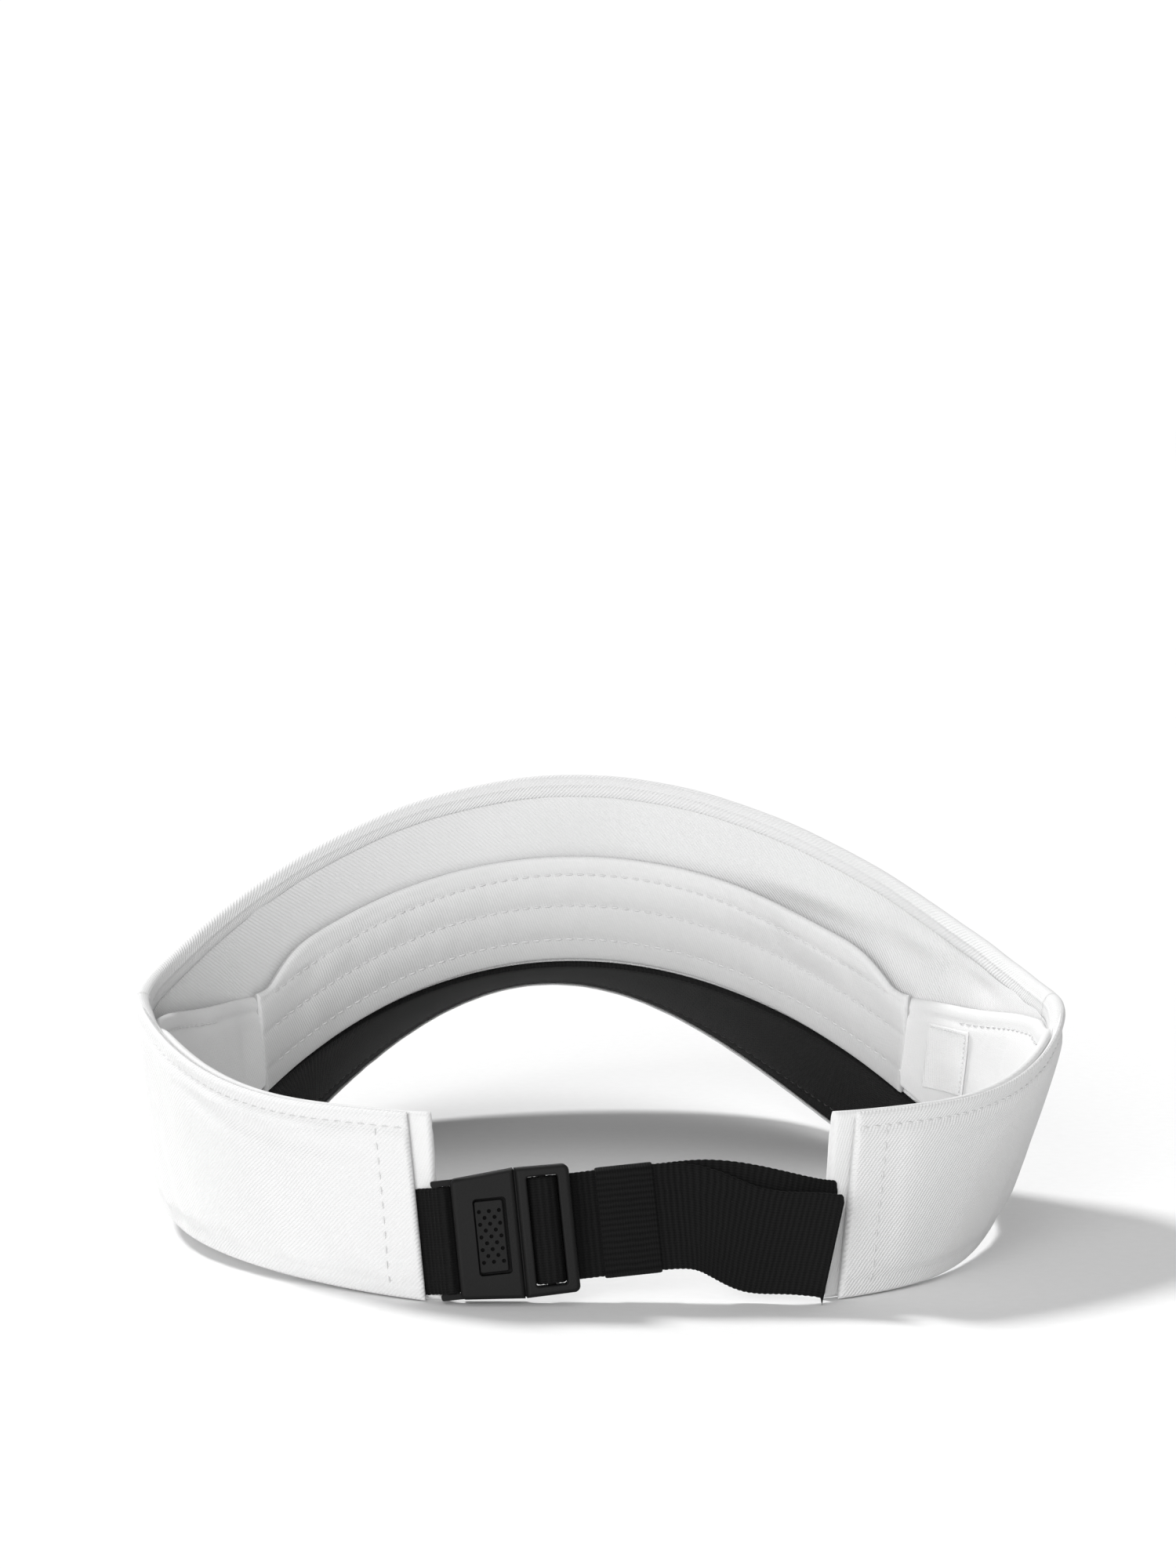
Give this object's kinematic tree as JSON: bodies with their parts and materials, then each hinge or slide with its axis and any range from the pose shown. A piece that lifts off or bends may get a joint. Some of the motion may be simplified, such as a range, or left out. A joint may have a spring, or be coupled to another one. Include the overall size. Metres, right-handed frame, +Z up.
{
  "type": "sun visor",
  "caption": "Open-crown sun visor with an arched brim, padded sweatband, two side arms and a webbing strap closed by a side-release buckle with a press pad.",
  "frame": {"origin": "centre of the head opening, on the plane the visor rests on", "axes": "+Y towards the brim, +X to the right seen from behind, +Z up"},
  "size_m": [0.195, 0.2414, 0.0862],
  "materials": {
    "white_twill": "fine cotton twill weave, matt",
    "white_lining": "soft brushed cotton, matt",
    "padding": "open padding, hidden",
    "brim_board": "stiff sheet, hidden",
    "black_twill": "fine cotton twill weave, matt",
    "black_webbing": "ribbed woven webbing",
    "black_plastic": "moulded, fine satin"
  },
  "bodies": {
    "crown": {"front_panel": "white_twill", "front_interlining": "padding", "front_lining": "white_twill", "top_binding": "white_twill", "sweatband": "white_lining", "sweatband_foam": "padding", "left_temple_lining": "white_lining", "right_temple_lining": "white_lining", "care_label": "white_lining", "brim_board": "brim_board", "brim_top_cover": "white_twill", "brim_under_cover": "black_twill", "brim_edge_binding": "white_twill"},
    "left_arm": {"left_side_panel": "white_twill", "left_side_padding": "padding", "left_end_hem": "white_twill", "left_strap_anchor": "black_webbing", "left_side_lining": "white_lining"},
    "right_arm": {"right_side_panel": "white_twill", "right_side_padding": "padding", "right_end_hem": "white_twill", "right_strap_anchor": "black_webbing", "right_side_lining": "white_lining"},
    "housing": {"buckle_housing": "black_plastic", "left_loop_webbing": "black_webbing"},
    "strap": {"standing_webbing": "black_webbing"},
    "clip_half": {"clip_frame": "black_plastic", "wrapped_webbing": "black_webbing"},
    "latch": {"release_latch": "black_plastic"},
    "tail": {"strap_tail": "black_webbing"},
    "keeper": {"keeper_loop": "black_webbing"}
  },
  "joints": [
    {"name": "left_arm_spread", "type": "hinge", "parent": "crown", "child": "left_arm", "pos_m": [-0.0896, 0, 0.023], "axis": [0.2069, -0.1384, -0.9685], "range_deg": [0, 10], "stiffness_Nm_per_rad": 0.05},
    {"name": "right_arm_spread", "type": "hinge", "parent": "crown", "child": "right_arm", "pos_m": [0.0896, 0, 0.023], "axis": [0.001, 0.1384, 0.9904], "range_deg": [0, 10], "stiffness_Nm_per_rad": 0.05},
    {"name": "housing_swing", "type": "hinge", "parent": "left_arm", "child": "housing", "pos_m": [-0.0393, -0.0817, 0.011], "axis": [-0.2069, 0.1384, 0.9685], "range_deg": [0, 10], "deforming": ["left_loop_webbing"]},
    {"name": "strap_swing", "type": "hinge", "parent": "right_arm", "child": "strap", "pos_m": [0.04291, -0.08009, 0.0123], "axis": [-0.001, -0.1384, -0.9904], "range_deg": [0, 10], "deforming": ["standing_webbing"]},
    {"name": "adjuster_slide", "type": "slide", "parent": "strap", "child": "clip_half", "axis": [0.9945, 0, 0.1045], "range_m": [0, 0.01], "deforming": ["wrapped_webbing"]},
    {"name": "tail_feed", "type": "slide", "parent": "clip_half", "child": "tail", "axis": [0.9945, 0, 0.1045], "range_m": [0, 0.01], "deforming": ["strap_tail"]},
    {"name": "pad_press", "type": "slide", "parent": "clip_half", "child": "latch", "axis": [0.0145, 0.9903, -0.1384], "range_m": [0, 0.0012], "stiffness_N_per_m": 400, "deforming": ["release_latch"]},
    {"name": "keeper_slide", "type": "slide", "parent": "clip_half", "child": "keeper", "axis": [0.9945, 0, 0.1045], "range_m": [-0.002, 0.006]}
  ],
  "couplings": [
    {"joint": "right_arm_spread", "follows": "left_arm_spread", "ratio": 1},
    {"joint": "housing_swing", "follows": "left_arm_spread", "ratio": 1},
    {"joint": "strap_swing", "follows": "left_arm_spread", "ratio": 1},
    {"joint": "tail_feed", "follows": "adjuster_slide", "ratio": 1}
  ]
}
